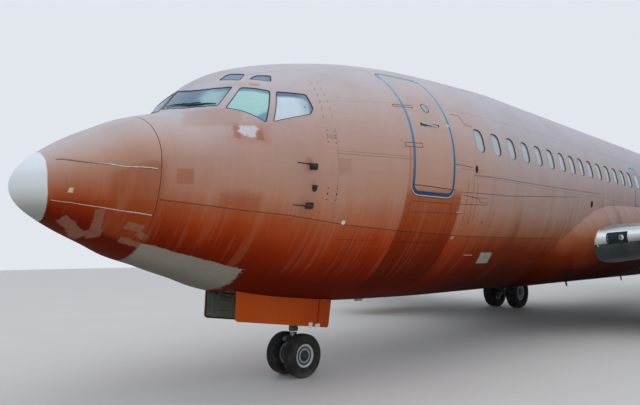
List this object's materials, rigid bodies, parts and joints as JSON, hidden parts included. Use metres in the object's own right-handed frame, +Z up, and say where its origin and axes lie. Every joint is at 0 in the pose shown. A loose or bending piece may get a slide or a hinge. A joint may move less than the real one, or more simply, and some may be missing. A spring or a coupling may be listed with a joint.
{
  "type": "narrow body airliner",
  "caption": "Twin-engined single-aisle jet airliner standing on its nose and main gear, with a hinged radome, cabin doors, wings, fin, tailplane and hinged control surfaces.",
  "frame": {"origin": "on the ground under the middle of the overall length, in the plane of symmetry", "axes": "+X aft along the fuselage, +Y to starboard, +Z up"},
  "size_m": [30.528, 28.35, 11.275],
  "materials": {
    "fuselage_paint": "weathered orange paint, faded on top and darker below",
    "radome": "weathered paint with a bare white tip",
    "flight_deck_glass": "dark laminated glass",
    "wing_metal": "dull bare metal and grey paint",
    "engine_metal": "satin",
    "gear_steel": "worn grey paint",
    "wheel_metal": "satin",
    "tyre_rubber": "worn matte rubber"
  },
  "bodies": {
    "airframe": {"nose_section": "fuselage_paint", "forward_fuselage": "fuselage_paint", "centre_fuselage": "fuselage_paint", "aft_fuselage": "fuselage_paint", "tail_cone": "fuselage_paint", "glazing_left": "flight_deck_glass", "glazing_right": "flight_deck_glass", "door_forward_left": "fuselage_paint", "door_forward_right": "fuselage_paint", "airstair_door": "fuselage_paint", "cargo_door_forward": "fuselage_paint", "cargo_door_aft": "fuselage_paint", "overwing_exit_left": "fuselage_paint", "overwing_exit_right": "fuselage_paint", "door_aft_left": "fuselage_paint", "door_aft_right": "fuselage_paint", "wing_body_fairing": "fuselage_paint", "wing_left": "wing_metal", "wing_right": "wing_metal", "landing_light_left": "flight_deck_glass", "landing_light_right": "flight_deck_glass", "flap_inboard_left": "wing_metal", "flap_inboard_right": "wing_metal", "flap_outboard_left": "wing_metal", "flap_outboard_right": "wing_metal", "pylon_left": "fuselage_paint", "pylon_right": "fuselage_paint", "nacelle_left": "fuselage_paint", "nacelle_right": "fuselage_paint", "engine_core_left": "engine_metal", "engine_core_right": "engine_metal", "fin": "fuselage_paint", "stabiliser_left": "fuselage_paint", "stabiliser_right": "fuselage_paint", "nose_gear_leg": "gear_steel", "nose_gear_door_left": "fuselage_paint", "nose_gear_door_right": "fuselage_paint", "main_gear_leg_left": "gear_steel", "main_gear_leg_right": "gear_steel", "main_gear_door_left": "fuselage_paint", "main_gear_door_right": "fuselage_paint"},
    "radome": {"radome": "radome"},
    "nose_steering": {"nose_gear_fork": "gear_steel"},
    "nose_wheels": {"nose_wheels": "wheel_metal", "nose_tyre_left": "tyre_rubber", "nose_tyre_right": "tyre_rubber"},
    "main_wheels_left": {"main_wheels_left": "wheel_metal", "main_tyre_left_inner": "tyre_rubber", "main_tyre_left_outer": "tyre_rubber"},
    "main_wheels_right": {"main_wheels_right": "wheel_metal", "main_tyre_right_inner": "tyre_rubber", "main_tyre_right_outer": "tyre_rubber"},
    "fan_left": {"fan_left": "engine_metal"},
    "fan_right": {"fan_right": "engine_metal"},
    "rudder": {"rudder": "fuselage_paint"},
    "elevator_left": {"elevator_left": "fuselage_paint"},
    "elevator_right": {"elevator_right": "fuselage_paint"},
    "aileron_left": {"aileron_left": "wing_metal"},
    "aileron_right": {"aileron_right": "wing_metal"}
  },
  "joints": [
    {"name": "radome_hinge", "type": "hinge", "parent": "airframe", "child": "radome", "pos_m": [-14.124, 0, 3.345], "axis": [0, 1, 0], "range_deg": [0, 75]},
    {"name": "nose_steer", "type": "hinge", "parent": "airframe", "child": "nose_steering", "pos_m": [-11.475, 0, 0.6], "axis": [0, 0, 1], "range_deg": [-78, 78]},
    {"name": "nose_wheel_spin", "type": "hinge", "parent": "nose_steering", "child": "nose_wheels", "pos_m": [-11.475, 0, 0.305], "axis": [0, 1, 0], "continuous": true},
    {"name": "main_wheel_spin_left", "type": "hinge", "parent": "airframe", "child": "main_wheels_left", "pos_m": [-0.095, -2.615, 0.508], "axis": [0, 1, 0], "continuous": true},
    {"name": "main_wheel_spin_right", "type": "hinge", "parent": "airframe", "child": "main_wheels_right", "pos_m": [-0.095, 2.615, 0.508], "axis": [0, 1, 0], "continuous": true},
    {"name": "fan_spin_left", "type": "hinge", "parent": "airframe", "child": "fan_left", "pos_m": [-3.79, -4.83, 1.425], "axis": [1, 0, 0], "continuous": true},
    {"name": "fan_spin_right", "type": "hinge", "parent": "airframe", "child": "fan_right", "pos_m": [-3.79, 4.83, 1.425], "axis": [1, 0, 0], "continuous": true},
    {"name": "rudder_hinge", "type": "hinge", "parent": "airframe", "child": "rudder", "pos_m": [11.8934, 0, 5.065], "axis": [0.2944, 0, 0.9557], "range_deg": [-26, 26]},
    {"name": "elevator_hinge_left", "type": "hinge", "parent": "airframe", "child": "elevator_left", "pos_m": [12.5328, -0.76, 4.1373], "axis": [-0.4173, 0.902, -0.1103], "range_deg": [-21, 21]},
    {"name": "elevator_hinge_right", "type": "hinge", "parent": "airframe", "child": "elevator_right", "pos_m": [12.5328, 0.76, 4.1373], "axis": [0.4173, 0.902, 0.1103], "range_deg": [-21, 21]},
    {"name": "aileron_hinge_left", "type": "hinge", "parent": "airframe", "child": "aileron_left", "pos_m": [2.2035, -9.85, 2.7709], "axis": [-0.3162, 0.9431, -0.1024], "range_deg": [-20, 20]},
    {"name": "aileron_hinge_right", "type": "hinge", "parent": "airframe", "child": "aileron_right", "pos_m": [2.2035, 9.85, 2.7709], "axis": [0.3162, 0.9431, 0.1024], "range_deg": [-20, 20]}
  ]
}
